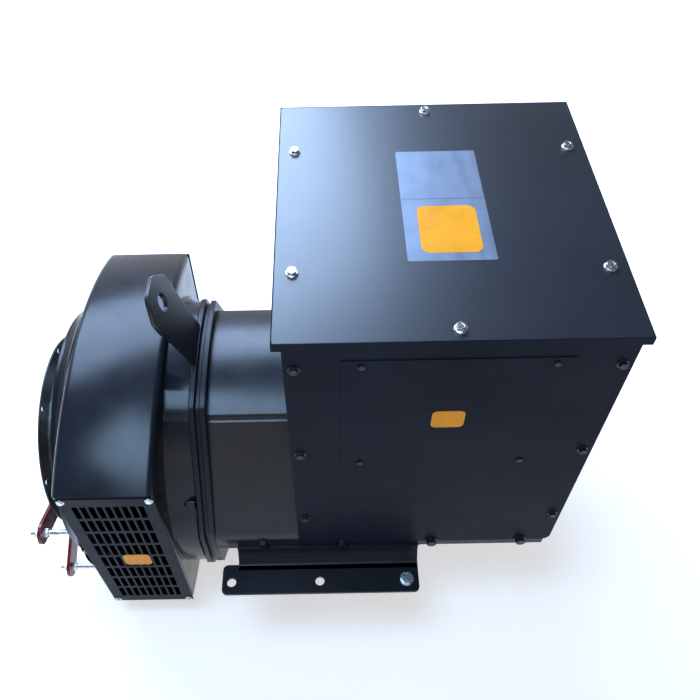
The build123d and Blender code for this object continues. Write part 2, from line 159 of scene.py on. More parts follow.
# Feet: the web from its top (out, down), round its bend (out, up), and its underside (out, up)
FOOT_THICK = 0.006
WEB_START = 0.027
WEB_TOP = ((0.0, 0.0), (0.0, 0.012), (0.004, 0.019))
WEB_BEND = ((0.013, 0.0135), (0.0165, 0.0085), (0.022, FOOT_THICK), (0.030, FOOT_THICK))
WEB_UNDER = ((0.0065, 0.0105), (0.011, 0.004), (0.019, 0.0), (0.030, 0.0))
FLANGE_IN, FLANGE_CORNER = 0.020, 0.009
FOOT_HOLES_X, FOOT_HOLES_Y, FOOT_HOLE_RADIUS = (0.278, 0.430, 0.579), 0.291, 0.008

# Fineness of round forms, and the angle above which an edge is softened
HOLE_SIDES = 28
HEAD_SIDES = 36
CROWN_STEPS = 24
SOFT_ANGLE = 30.0


def length(name, text, value, top=3.0):
    """A length that a user can change."""
    return FloatProperty(name=name, description=text, default=value, min=0.0, max=top,
                         unit="LENGTH")


def colour(name, text, value):
    """A colour that a user can change."""
    return FloatVectorProperty(name=name, description=text, default=value, min=0.0, max=1.0,
                               size=3, subtype="COLOR")


class HeadSizes(bpy.types.PropertyGroup):
    """Sizes of the plates, tags and loose trim"""

    foil_length: length("Foil length", "Length of the bare foil plate on the lid", 0.229)
    foil_width: length("Foil width", "Width of the bare foil plate on the lid", 0.1155)
    foil_from_left: length("Foil offset", "Distance from the lid's drive-end edge to the foil",
                           0.172)
    block_length: length("Block length", "Length of the amber block on the foil", 0.092)
    block_width: length("Block width", "Width of the amber block on the foil", 0.080)
    cover_tag: length("Cover tag", "Width of the amber tag on the regulator cover", 0.044)
    grille_tag: length("Grille tag", "Width of the amber tag on the grille", 0.046)
    film: length("Film thickness", "Thickness of the foil and the tags", 0.0003)
    screw_flat: length("Lid screw size", "Distance across the flats of the lid screws", 0.012)


class HeadColours(bpy.types.PropertyGroup):
    """Colours of the paints, platings and plates"""

    enamel: colour("Enamel", "Black enamel on the housing, wrap and box", (0.0105, 0.0120, 0.0170))
    # Black enamel tinted navy: the tint is painted reflection of the shaded floor on the upright
    # box panels
    black_and_painted_reflection: colour("Panel enamel", "Black enamel on the upright panels", (0.0095, 0.0125, 0.0220))
    slate: colour("Grille enamel", "Slate enamel on the side grilles", (0.008, 0.011, 0.018))
    red: colour("Bar red", "Gloss red on the transit bars", (0.22, 0.004, 0.012))
    dust: colour("Dust", "Fine dust in the enamels", (0.16, 0.16, 0.17))
    zinc: colour("Zinc", "Bright zinc on screws and bolts", (0.70, 0.71, 0.72))
    dark_steel: colour("Dark steel", "Blackened screws on the panels", (0.045, 0.050, 0.060))
    copper: colour("Winding", "Varnished copper windings", (0.28, 0.075, 0.020))
    laminations: colour("Laminations", "Varnished core steel", (0.16, 0.16, 0.17))
    machined: colour("Machined steel", "Bare turned steel", (0.42, 0.41, 0.40))
    aluminium: colour("Aluminium", "Bare cast aluminium", (0.55, 0.56, 0.57))
    moulding: colour("Moulding", "Black moulded parts", (0.02, 0.02, 0.021))
    amber: colour("Amber", "Amber tags", (0.90, 0.33, 0.010))
    foil: colour("Foil", "Pale foil plate", (0.25, 0.29, 0.37))
    floor: colour("Floor", "Pale studio floor", (0.80, 0.80, 0.80))


def sizes():
    """The sizes in use."""
    return bpy.context.scene.head_sizes


def colours():
    """The colours in use."""
    return bpy.context.scene.head_colours


# Finishes

def start(name):
    """A new material with its surface shader and node tree."""
    finish = bpy.data.materials.new(name)
    finish.use_nodes = True
    tree = finish.node_tree
    shader = tree.nodes["Principled BSDF"]
    return finish, tree, shader


def link(tree, a, b):
    """Join an output to an input."""
    tree.links.new(a, b)


def object_place(tree):
    """The place on the object, in its own metres."""
    return tree.nodes.new("ShaderNodeTexCoord").outputs["Object"]


def noise(tree, scale, detail=3.0, rough=0.5, stretch=None):
    """Cloudy noise that sticks to the object."""
    node = tree.nodes.new("ShaderNodeTexNoise")
    node.inputs["Scale"].default_value = scale
    node.inputs["Detail"].default_value = detail
    node.inputs["Roughness"].default_value = rough
    place = object_place(tree)
    if stretch:
        mapping = tree.nodes.new("ShaderNodeMapping")
        mapping.inputs["Scale"].default_value = stretch
        link(tree, place, mapping.inputs["Vector"])
        place = mapping.outputs["Vector"]
    link(tree, place, node.inputs["Vector"])
    return node.outputs["Fac"]


def spread(tree, value, low, high, from_low=0.3, from_high=0.7):
    """A value carried from one range to another."""
    node = tree.nodes.new("ShaderNodeMapRange")
    node.inputs["From Min"].default_value = from_low
    node.inputs["From Max"].default_value = from_high
    node.inputs["To Min"].default_value = low
    node.inputs["To Max"].default_value = high
    link(tree, value, node.inputs["Value"])
    return node.outputs["Result"]


def blend_colours(tree, value, first, second, from_low=0.35, from_high=0.65):
    """Two colours blended by a value."""
    node = tree.nodes.new("ShaderNodeValToRGB")
    node.color_ramp.elements[0].position = from_low
    node.color_ramp.elements[0].color = (*first, 1.0)
    node.color_ramp.elements[1].position = from_high
    node.color_ramp.elements[1].color = (*second, 1.0)
    link(tree, value, node.inputs["Fac"])
    return node.outputs["Color"]


def times(rgb, k):
    """A colour made lighter or darker, at most white."""
    return tuple(min(1.0, c * k) for c in rgb)


def round_edges(tree, radius):
    """A normal that rounds sharp edges off."""
    node = tree.nodes.new("ShaderNodeBevel")
    node.samples = 4
    node.inputs["Radius"].default_value = radius
    return node.outputs["Normal"]


def ripple(tree, shader, value, strength, distance, edge=0.0):
    """A fine relief from a value, over edges rounded by edge."""
    node = tree.nodes.new("ShaderNodeBump")
    node.inputs["Strength"].default_value = strength
    node.inputs["Distance"].default_value = distance
    link(tree, value, node.inputs["Height"])
    if edge:
        link(tree, round_edges(tree, edge), node.inputs["Normal"])
    link(tree, node.outputs["Normal"], shader.inputs["Normal"])


def enamel(name, rgb, rough=0.36, edge=0.0015, dust=0.12, peel=0.10, gloss=0.5, cloud=1.0):
    """Sprayed enamel: faint mottling, fine specks of dust, orange peel and a thin clear coat."""
    finish, tree, shader = start(name)
    mottle = blend_colours(tree, noise(tree, 7.0, 5.0), times(rgb, 0.82), times(rgb, 1.22))
    speck = spread(tree, noise(tree, 420.0, 2.0, 0.7), 0.0, dust, 0.62, 0.80)
    mix = tree.nodes.new("ShaderNodeMix")
    mix.data_type = "RGBA"
    link(tree, speck, mix.inputs["Factor"])
    link(tree, mottle, mix.inputs["A"])
    mix.inputs["B"].default_value = (*colours().dust, 1.0)
    link(tree, mix.outputs["Result"], shader.inputs["Base Color"])
    patches = spread(tree, noise(tree, 22.0, 4.0), rough - 0.035 * cloud, rough + 0.05 * cloud)
    link(tree, patches, shader.inputs["Roughness"])
    shader.inputs["Specular IOR Level"].default_value = gloss
    shader.inputs["Coat Weight"].default_value = 0.3 * gloss
    shader.inputs["Coat Roughness"].default_value = 0.22
    ripple(tree, shader, noise(tree, 650.0, 2.0), peel, 0.0002, edge)
    return finish


def plated(name, rgb, rough=0.28):
    """Plated or turned steel: cloudy, with fine turning marks."""
    finish, tree, shader = start(name)
    cloud = blend_colours(tree, noise(tree, 90.0, 4.0), times(rgb, 0.72), times(rgb, 1.18))
    link(tree, cloud, shader.inputs["Base Color"])
    shader.inputs["Metallic"].default_value = 1.0
    patches = spread(tree, noise(tree, 300.0, 3.0), rough - 0.08, rough + 0.12)
    link(tree, patches, shader.inputs["Roughness"])
    marks = noise(tree, 1500.0, 2.0, stretch=(1.0, 1.0, 0.1))
    ripple(tree, shader, marks, 0.12, 0.0001, 0.0006)
    return finish


def bands(tree, scale, distortion=0.0):
    """Even bands, one after another along the shaft."""
    node = tree.nodes.new("ShaderNodeTexWave")
    node.bands_direction = "X"
    node.inputs["Scale"].default_value = scale
    node.inputs["Distortion"].default_value = distortion
    link(tree, object_place(tree), node.inputs["Vector"])
    return node.outputs["Fac"]


def laminated(name, rgb):
    """Varnished steel laminations stacked along the shaft."""
    finish, tree, shader = start(name)
    sheets = 260.0
    stripes = blend_colours(tree, bands(tree, sheets), times(rgb, 0.45), times(rgb, 1.1), 0.2, 0.8)
    link(tree, stripes, shader.inputs["Base Color"])
    shader.inputs["Metallic"].default_value = 0.8
    link(tree, spread(tree, noise(tree, 60.0), 0.38, 0.55), shader.inputs["Roughness"])
    ripple(tree, shader, bands(tree, sheets), 0.3, 0.0002, 0.0008)
    return finish


def wound(name, rgb):
    """Varnished copper turns laid side by side."""
    finish, tree, shader = start(name)
    varnish = blend_colours(tree, noise(tree, 40.0, 4.0), times(rgb, 0.6), times(rgb, 1.5))
    link(tree, varnish, shader.inputs["Base Color"])
    shader.inputs["Coat Weight"].default_value = 0.6
    shader.inputs["Coat Roughness"].default_value = 0.12
    link(tree, spread(tree, noise(tree, 120.0), 0.3, 0.5), shader.inputs["Roughness"])
    ripple(tree, shader, bands(tree, 110.0, 0.6), 0.6, 0.0012, 0.001)
    return finish


def cast(name, rgb, rough=0.5, metal=1.0):
    """Sand-cast or moulded skin with a fine grain."""
    finish, tree, shader = start(name)
    skin = blend_colours(tree, noise(tree, 30.0, 5.0), times(rgb, 0.8), times(rgb, 1.15))
    link(tree, skin, shader.inputs["Base Color"])
    shader.inputs["Metallic"].default_value = metal
    patches = spread(tree, noise(tree, 160.0, 4.0), rough - 0.08, rough + 0.1)
    link(tree, patches, shader.inputs["Roughness"])
    ripple(tree, shader, noise(tree, 420.0, 4.0), 0.35, 0.0003, 0.0012)
    return finish


def film(name, rgb, rough=0.42, metal=0.0):
    """Printed or foil film with faint rub marks."""
    finish, tree, shader = start(name)
    tone = blend_colours(tree, noise(tree, 25.0, 5.0, 0.6), times(rgb, 0.9), times(rgb, 1.08))
    link(tree, tone, shader.inputs["Base Color"])
    shader.inputs["Metallic"].default_value = metal
    shader.inputs["Specular IOR Level"].default_value = 0.2
    rubs = noise(tree, 60.0, 4.0, stretch=(1.0, 0.15, 1.0))
    link(tree, spread(tree, rubs, rough - 0.08, rough + 0.08), shader.inputs["Roughness"])
    ripple(tree, shader, noise(tree, 700.0, 3.0), 0.08, 0.00005)
    return finish


# Forms

def piece(name, build, finish, body="frame"):
    """A new object from a bmesh builder, finished and riding on its body."""
    mesh = bpy.data.meshes.new(name)
    form = bmesh.new()
    build(form)
    bmesh.ops.recalc_face_normals(form, faces=form.faces[:])
    form.to_mesh(mesh)
    form.free()
    mesh.materials.append(finish)
    obj = bpy.data.objects.new(name, mesh)
    bpy.context.scene.collection.objects.link(obj)
    for face in mesh.polygons:
        face.use_smooth = False
    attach(obj, body)
    return obj


def dress(node, finish):
    """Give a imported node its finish."""
    obj = frame["nodes"][node]
    for place in obj.material_slots:
        place.link = "OBJECT"
        place.material = finish


def sharpen(obj, degrees):
    """Smooth shading that keeps every edge sharper than the angle."""
    for face in obj.data.polygons:
        face.use_smooth = True
    obj.data.set_sharp_from_angle(angle=math.radians(degrees))


def soften(obj, width, segments):
    """A real rounded edge on every sharp corner, applied to the mesh."""
    sharpen(obj, SOFT_ANGLE)
    bevel = obj.modifiers.new("edges", "BEVEL")
    bevel.harden_normals = True
    bevel.width = width
    bevel.segments = segments
    bevel.limit_method = "ANGLE"
    bevel.angle_limit = math.radians(SOFT_ANGLE)
    depsgraph = bpy.context.evaluated_depsgraph_get()
    mesh = bpy.data.meshes.new_from_object(obj.evaluated_get(depsgraph))
    obj.modifiers.clear()
    obj.data = mesh


def sweep_section(form, outer, inner, x0, x1):
    """A sheet between an outer and an inner line of (y, z) points, run from x0 to x1."""
    rows = []
    for x in (x0, x1):
        rows.append([form.verts.new((x, y, z)) for y, z in outer])
        rows.append([form.verts.new((x, y, z)) for y, z in inner])
    a_out, a_in, b_out, b_in = rows
    n = len(outer)
    for i in range(n - 1):
        form.faces.new((a_out[i], a_out[i + 1], b_out[i + 1], b_out[i]))
        form.faces.new((a_in[i + 1], a_in[i], b_in[i], b_in[i + 1]))
        form.faces.new((a_out[i], a_in[i], a_in[i + 1], a_out[i + 1]))
        form.faces.new((b_out[i + 1], b_in[i + 1], b_in[i], b_out[i]))
    for i in (0, n - 1):
        form.faces.new((a_out[i], b_out[i], b_in[i], a_in[i]))


def reach_at(line, y, z):
    """How far the closed line of (y, z) points lies from the shaft, in the direction of y, z."""
    size = math.hypot(y, z)
    dy, dz = y / size, z / size
    for (y0, z0), (y1, z1) in zip(line, line[1:] + line[:1]):
        ey, ez = y1 - y0, z1 - z0
        cross = dy * ez - dz * ey
        if abs(cross) < 1e-9:
            continue
        far = (y0 * ez - z0 * ey) / cross
        share = (y0 * dz - z0 * dy) / cross
        if far > 0 and -1e-6 <= share <= 1 + 1e-6:
            return far
    raise RuntimeError("the outline isn't closed round the shaft")


def inset_line(line, depth):
    """The line moved inwards by depth along its own normals."""
    out = []
    for i, (y, z) in enumerate(line):
        y0, z0 = line[max(0, i - 1)]
        y1, z1 = line[min(len(line) - 1, i + 1)]
        dy, dz = y1 - y0, z1 - z0
        size = math.hypot(dy, dz) or 1.0
        out.append((y + depth * dz / size, z - depth * dy / size))
    return out


def arc(cy, cz, radius, start_deg, end_deg, steps):
    """Points of an arc about (cy, cz), from one angle to the other."""
    turns = [math.radians(start_deg + (end_deg - start_deg) * i / steps) for i in range(steps + 1)]
    return [(cy + radius * math.cos(a), cz + radius * math.sin(a)) for a in turns]


def join_loops(form, a, b):
    """Faces between two closed loops of as many vertices."""
    for i in range(len(a)):
        j = (i + 1) % len(a)
        form.faces.new((a[i], a[j], b[j], b[i]))


def plate(form, outline, holes, thick, place):
    """A plate with round holes: outline and holes in the place's XY plane, thick along its Z."""
    turns = [2 * math.pi * k / HOLE_SIDES for k in range(HOLE_SIDES)]
    loops = [outline]
    loops += [[(x + r * math.cos(a), y + r * math.sin(a)) for a in turns] for x, y, r in holes]
    levels = []
    for z in (0.0, thick):
        edges = []
        rings = []
        for line in loops:
            verts = [form.verts.new(place @ Vector((x, y, z))) for x, y in line]
            rings.append(verts)
            n = len(verts)
            edges += [form.edges.new((verts[i], verts[(i + 1) % n])) for i in range(n)]
        bmesh.ops.triangle_fill(form, use_beauty=True, use_dissolve=True, edges=edges)
        levels.append(rings)
    for low, high in zip(*levels):
        join_loops(form, low, high)


def rounded_outline(width, height, radius, steps=6):
    """A rectangle with rounded corners, about its own middle."""
    points = []
    for k, (sx, sy) in enumerate(((1, 1), (-1, 1), (-1, -1), (1, -1))):
        cx = sx * (width / 2 - radius)
        cy = sy * (height / 2 - radius)
        for i in range(steps + 1):
            a = math.radians(90.0 * k + 90.0 * i / steps)
            points.append((cx + radius * math.cos(a), cy + radius * math.sin(a)))
    return points


def lay_film(form, outline, thick, place):
    """A thin film with the outline, its underside at the place's own level."""
    low = [form.verts.new(place @ Vector((x, y, 0.0))) for x, y in outline]
    high = [form.verts.new(place @ Vector((x, y, thick))) for x, y in outline]
    form.faces.new(low)
    form.faces.new(list(reversed(high)))
    join_loops(form, low, high)


def film_piece(name, width, height, corner, thick, place, finish):
    """A rounded rectangle of film, as a piece of its own."""
    outline = rounded_outline(width, height, corner)
    return piece(name, lambda form: lay_film(form, outline, thick, place), finish)


def turned_head(form, place, flat, height, flange_r, flange_t):
    """Dished hexagon head with chamfered corners on a flange; the seat is the place's level."""
    rings = []

    def ring(radius, z, hexagonal=False):
        verts = []
        for i in range(HEAD_SIDES):
            a = 2 * math.pi * i / HEAD_SIDES
            r = radius
            if hexagonal:
                b = (a + math.pi / 6) % (math.pi / 3) - math.pi / 6
                r = min(radius, (flat / 2) / math.cos(b))
            verts.append(form.verts.new(place @ Vector((r * math.cos(a), r * math.sin(a), z))))
        rings.append(verts)

    corner = flat / 2 / math.cos(math.pi / 6)
    ring(flange_r * 0.97, 0.0)
    ring(flange_r, flange_t * 0.35)
    ring(flange_r * 0.96, flange_t * 0.8)
    ring(corner * 1.04, flange_t)
    ring(corner, flange_t * 1.02, hexagonal=True)
    ring(corner, height * 0.84, hexagonal=True)
    ring(flat / 2, height * 0.985, hexagonal=True)
    ring(flat / 2 * 0.92, height)
    ring(flat / 2 * 0.62, height)
    ring(flat / 2 * 0.55, height - 0.15 * flat * 0.25)
    form.faces.new(list(reversed(rings[0])))
    form.faces.new(rings[-1])
    for a, b in zip(rings, rings[1:]):
        join_loops(form, a, b)


def facing(at, normal, turn=0.0):
    """Placement at a point with its local Z along the normal, turned about it in degrees."""
    swing = Vector(normal).to_track_quat("Z", "Y").to_matrix().to_4x4()
    return Matrix.Translation(Vector(at)) @ swing @ Matrix.Rotation(math.radians(turn), 4, "Z")


# Operators

class HEAD_OT_stage(bpy.types.Operator):
    """Studio floor, soft lights and the camera"""

    bl_idname = "head.stage"
    bl_label = "Stage"

    def execute(self, context):
        floor_z = CAD_BOX[0][2] - FLOOR_GAP
        corners = ((-1, -1), (1, -1), (1, 1), (-1, 1))
        mesh = bpy.data.meshes.new("studio_floor")
        mesh.from_pydata([(x * FLOOR_HALF, y * FLOOR_HALF, floor_z) for x, y in corners], [],
                         [(0, 1, 2, 3)])
        floor = bpy.data.objects.new("studio_floor", mesh)
        context.scene.collection.objects.link(floor)
        mesh.materials.append(self.floor_finish())

        world = bpy.data.worlds.new("studio")
        context.scene.world = world
        world.use_nodes = True
        tree = world.node_tree
        back = tree.nodes["Background"]
        way = tree.nodes.new("ShaderNodeTexCoord")
        split = tree.nodes.new("ShaderNodeSeparateXYZ")
        link(tree, way.outputs["Generated"], split.inputs["Vector"])
        sky = spread(tree, split.outputs["Z"], SKY_BRIGHT, SKY_DIM, SKY_FROM, SKY_TO)
        link(tree, sky, back.inputs["Strength"])
        back.inputs["Color"].default_value = (1.0, 1.0, 1.0, 1.0)

        for name, at, aim, width, depth, power, rgb in LAMPS:
            data = bpy.data.lights.new(name, "AREA")
            data.shape = "RECTANGLE"
            data.size = width
            data.size_y = depth
            data.energy = power
            data.color = rgb
            lamp = bpy.data.objects.new(name, data)
            lamp.location = at
            lamp.rotation_euler = (Vector(aim) - Vector(at)).to_track_quat("-Z", "Y").to_euler()
            context.scene.collection.objects.link(lamp)

        data = bpy.data.cameras.new("view")
        data.sensor_width = CAMERA_SENSOR
        data.lens = CAMERA_LENS
        data.shift_x, data.shift_y = CAMERA_SHIFT
        camera = bpy.data.objects.new("view", data)
        camera.location = CAMERA_PLACE
        camera.rotation_euler = tuple(math.radians(a) for a in CAMERA_TURN)
        context.scene.collection.objects.link(camera)
        context.scene.camera = camera
        context.scene.view_settings.view_transform = "Standard"
        return {"FINISHED"}

    def floor_finish(self):
        """Pale matt floor that keeps shadows and looks nearly white."""
        finish, tree, shader = start("studio floor")
        pale = colours().floor
        grain = blend_colours(tree, noise(tree, 3.0), times(pale, 0.99), pale)
        link(tree, grain, shader.inputs["Base Color"])
        shader.inputs["Roughness"].default_value = 0.9
        glow = tree.nodes.new("ShaderNodeEmission")
        glow.inputs["Color"].default_value = (1.0, 1.0, 1.0, 1.0)
        rays = tree.nodes.new("ShaderNodeLightPath")
        add = tree.nodes.new("ShaderNodeAddShader")
        seen = rays.outputs["Is Camera Ray"]
        for kind in ("Is Glossy Ray", "Is Transmission Ray"):
            either = tree.nodes.new("ShaderNodeMath")
            either.operation = "MAXIMUM"
            link(tree, seen, either.inputs[0])
            link(tree, rays.outputs[kind], either.inputs[1])
            seen = either.outputs["Value"]
        strength = tree.nodes.new("ShaderNodeMath")
        strength.operation = "MULTIPLY"
        strength.inputs[1].default_value = FLOOR_GLOW
        link(tree, seen, strength.inputs[0])
        link(tree, strength.outputs["Value"], glow.inputs["Strength"])
        link(tree, shader.outputs["BSDF"], add.inputs[0])
        link(tree, glow.outputs["Emission"], add.inputs[1])
        link(tree, add.outputs["Shader"], tree.nodes["Material Output"].inputs["Surface"])
        return finish


class HEAD_OT_frame_finish(bpy.types.Operator):
    """Paint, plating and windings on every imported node"""

    bl_idname = "head.frame_finish"
    bl_label = "Frame finishes"

    def execute(self, context):
        c = colours()
        finishes = {
            "black_paint": enamel("black enamel", c.enamel, gloss=0.2),
            "grille_paint": enamel("slate enamel", c.slate, rough=0.42, edge=0.0006, gloss=0.06),
            "red_paint": enamel("bar red", c.red, rough=0.3, dust=0.03),
            "zinc": plated("bright zinc", c.zinc),
            "dark_fastener": plated("dark steel", c.dark_steel, rough=0.4),
            "lamination": laminated("laminations", c.laminations),
            "winding": wound("winding", c.copper),
            "machined_steel": plated("machined steel", c.machined, rough=0.34),
            "cast_aluminium": cast("cast aluminium", c.aluminium),
            "moulding": cast("moulding", c.moulding, metal=0.0),
        }
        slots = {s["node"]: s["material_slot"] for s in frame["record"]["subparts"]}
        for node in frame["nodes"]:
            dress(node, finishes[slots[node]])
        # Box panels and the lid's rim: black enamel with the navy tint of painted reflection, and
        # almost no gloss of their own
        panel = enamel("panel enamel", c.black_and_painted_reflection, rough=0.42, peel=0.14, gloss=0.04)
        for node in ("box_side_front", "box_side_rear", "regulator_cover", "box_end_nde", "lid"):
            dress(node, panel)
        blackened = enamel("blackened disc", times(c.dark_steel, 0.5), rough=0.42, gloss=0.3)
        dress("coupling_disc", blackened)
        return {"FINISHED"}


class HEAD_OT_lid_skin(bpy.types.Operator):
    """Glossier top coat on the lid's face, inside its rolled edge"""

    bl_idname = "head.lid_skin"
    bl_label = "Lid top coat"

    def execute(self, context):
        low, high = LID_LOW, LID_HIGH
        place = Matrix.Translation(((low[0] + high[0]) / 2, (low[1] + high[1]) / 2, high[2]))
        # The top coat's colour is the panel colour darkened to three quarters: painted shade on
        # the lid's top, under its glossy coat
        coat = enamel("lid enamel", times(colours().black_and_painted_reflection, 0.75), rough=0.36, peel=0.14, gloss=0.85,
                      cloud=0.15)
        film_piece("lid_skin", high[0] - low[0] - 2 * SKIN_MARGIN,
                   high[1] - low[1] - 2 * SKIN_MARGIN, SKIN_CORNER, SKIN_THICK, place, coat)
        return {"FINISHED"}


class HEAD_OT_foil_plate(bpy.types.Operator):
    """Bare foil plate with an amber block on the lid"""

    bl_idname = "head.foil_plate"
    bl_label = "Foil plate"

    def execute(self, context):
        s = sizes()
        x = LID_LOW[0] + s.foil_from_left + s.foil_width / 2
        z = LID_HIGH[2]
        foil = film("pale foil", colours().foil, rough=0.38, metal=0.55)
        place = Matrix.Translation((x, FOIL_Y, z))
        film_piece("lid_foil_plate", s.foil_width, s.foil_length, FOIL_CORNER, s.film, place,
                   foil)
        line = film("foil divider", times(colours().foil, 0.55), metal=0.4)
        place = Matrix.Translation((x, DIVIDER_Y, z + s.film))
        film_piece("lid_foil_divider", s.foil_width * DIVIDER_SHARE, DIVIDER_WIDTH,
                   DIVIDER_CORNER, s.film / 3, place, line)
        amber = film("amber film", colours().amber)
        place = Matrix.Translation((x + BLOCK_SHIFT, BLOCK_Y, z + s.film))
        film_piece("lid_amber_block", s.block_width, s.block_length, BLOCK_CORNER, s.film / 2,
                   place, amber)
        return {"FINISHED"}


class HEAD_OT_side_tags(bpy.types.Operator):
    """Plain amber tags on the regulator cover and the grille"""

    bl_idname = "head.side_tags"
    bl_label = "Side tags"

    def execute(self, context):
        s = sizes()
        amber = film("amber tag", colours().amber)
        for name, width, face, (x, z) in (
            ("cover_amber_tag", s.cover_tag, COVER_FRONT, COVER_TAG_PLACE),
            ("grille_amber_tag", s.grille_tag, GRILLE_FRONT, GRILLE_TAG_PLACE),
        ):
            place = facing((x, face, z), (0, -1, 0))
            film_piece(name, width, width * TAG_HEIGHT_SHARE, TAG_CORNER, s.film / 2, place,
                       amber)
        return {"FINISHED"}


class HEAD_OT_lid_screws(bpy.types.Operator):
    """Zinc hexagon flange screws round the lid"""

    bl_idname = "head.lid_screws"
    bl_label = "Lid screws"

    def execute(self, context):
        z = LID_HIGH[2]
        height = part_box("lid_bolts")[1][2] - z
        mid = (LID_LOW[0] + LID_HIGH[0]) / 2
        places = [(x, y) for x in SCREW_X for y in (-SCREW_Y, SCREW_Y)]
        places += [(mid, -SCREW_MID_Y), (mid, SCREW_MID_Y)]

        def build(form):
            for i, (x, y) in enumerate(places):
                turned_head(form, facing((x, y, z), (0, 0, 1), 17.0 * i), sizes().screw_flat,
                            height, SCREW_FLANGE_R, SCREW_FLANGE_T)

        zinc = plated("lid screw zinc", colours().zinc, rough=0.24)
        screws = piece("lid_screws", build, zinc)
        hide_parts("lid_bolts")
        return {"FINISHED"}


class HEAD_OT_wrap(bpy.types.Operator):
    """Rolled upper wrap with its folded seam on each side"""

    bl_idname = "head.wrap"
    bl_label = "Upper wrap"

    def execute(self, context):
        low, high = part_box("wrap_upper")
        top = high[2]
        side = high[1]
        fold_y, fold_z = side - FOLD_IN, top - FOLD_DOWN
        radius = (fold_y ** 2 + (top - fold_z) ** 2) / (2 * (top - fold_z))
        half = math.degrees(math.asin(fold_y / radius))
        crown = arc(0.0, top - radius, radius, 90 + half, 90 - half, CROWN_STEPS)
        slope = (side - SLOPE_IN - fold_y, SLOPE_FOOT_Z - fold_z)
        size = math.hypot(*slope)
        along = (slope[0] / size, slope[1] / size)
        inward = (along[1], -along[0])

        def on_slope(t, depth):
            return (fold_y + along[0] * t + inward[0] * depth,
                    fold_z + along[1] * t + inward[1] * depth)

        right = [on_slope(t, depth) for t, depth in SEAM]
        right += [on_slope(size - SLOPE_ROUND, 0.0)]
        right += [(side - inset, z) for inset, z in SIDE_ROUND]
        right += [(side, low[2])]
        left = [(-y, z) for y, z in reversed(right)]
        line = left + crown + right
        inner = inset_line(line, WRAP_THICK)
        paint = enamel("wrap enamel", colours().enamel, rough=0.30, gloss=0.34)
        wrap = piece("upper_wrap", lambda form: sweep_section(form, line, inner, low[0], high[0]),
                     paint)
        sharpen(wrap, 24.0)
        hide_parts("wrap_upper")
        return {"FINISHED"}


class HEAD_OT_joint_ring(bpy.types.Operator):
    """Joint ring with a groove round it, following the wrap above and eight-sided below"""

    bl_idname = "head.joint_ring"
    bl_label = "Joint ring"

    def execute(self, context):
        low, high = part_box("de_ring")
        bore = high[2] - RING_WALL
        width = high[0] - low[0]

        def rim(grow):
            gains = [1 + grow / math.hypot(y, z) for y, z in RING_OUTLINE]
            return [(y * gain, z * gain) for (y, z), gain in zip(RING_OUTLINE, gains)]

        def build(form):
            rows = []
            for share, grow in RING_SECTION:
                x = low[0] + width * share
                rows.append([form.verts.new((x, y, z)) for y, z in rim(grow)])
            for share in (1.0, 0.0):
                ring = []
                for y, z in rim(0.0):
                    size = math.hypot(y, z)
                    at = (low[0] + width * share, y * bore / size, z * bore / size)
                    ring.append(form.verts.new(at))
                rows.append(ring)
            rows.append(rows[0])
            for a, b in zip(rows, rows[1:]):
                join_loops(form, a, b)

        paint = enamel("ring enamel", colours().enamel, rough=0.38, gloss=0.2)
        ring = piece("joint_ring", build, paint)
        soften(ring, 0.0012, 2)
        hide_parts("de_ring")

        def build_bolts(form):
            for i, (y, z) in enumerate(RING_BOLTS):
                for side in (-1, 1):
                    place = facing((low[0], side * y, z), (-1, 0, 0), 19.0 * i)
                    turned_head(form, place, flat=0.013, height=0.008, flange_r=0.0085,
                                flange_t=0.002)

        dull_zinc = plated("ring bolt zinc", times(colours().zinc, 0.6), rough=0.34)
        bolts = piece("ring_screws", build_bolts, dull_zinc)
        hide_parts("ring_bolts")
        return {"FINISHED"}


class HEAD_OT_lifting_lug(bpy.types.Operator):
    """Lifting lug leaning from the joint ring to its eye"""

    bl_idname = "head.lifting_lug"
    bl_label = "Lifting lug"

    def execute(self, context):
        low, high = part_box("lifting_lug")
        ring_low, ring_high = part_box("de_ring")
        thick = high[0] - low[0]
        eye = Vector(((low[0] + high[0]) / 2, 0.0, high[2] - LUG_EYE_DROP))
        root = Vector((ring_low[0] + LUG_ROOT_IN, 0.0, ring_high[2] - LUG_ROOT_DOWN))
        up = (eye - root).normalized()
        rise = (high[2] - root.z) / up.z
        across = Vector((0.0, 1.0, 0.0))
        out = across.cross(up)
        foot = root - out * thick / 2
        seat = Matrix((
            (across.x, up.x, out.x, foot.x),
            (across.y, up.y, out.y, foot.y),
            (across.z, up.z, out.z, foot.z),
            (0.0, 0.0, 0.0, 1.0),
        ))
        half = list(LUG_WAIST) + [(w, rise - down) for w, down in LUG_HEAD]
        outline = half + [(-w, h) for w, h in reversed(half)]
        holes = [(0.0, (eye - root).length, LUG_EYE_RADIUS)]
        paint = enamel("lug enamel", colours().enamel, rough=0.3, dust=0.2, gloss=0.5)
        lug = piece("lug_plate", lambda form: plate(form, outline, holes, thick, seat), paint)
        soften(lug, 0.0014, 3)
        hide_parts("lifting_lug")
        return {"FINISHED"}


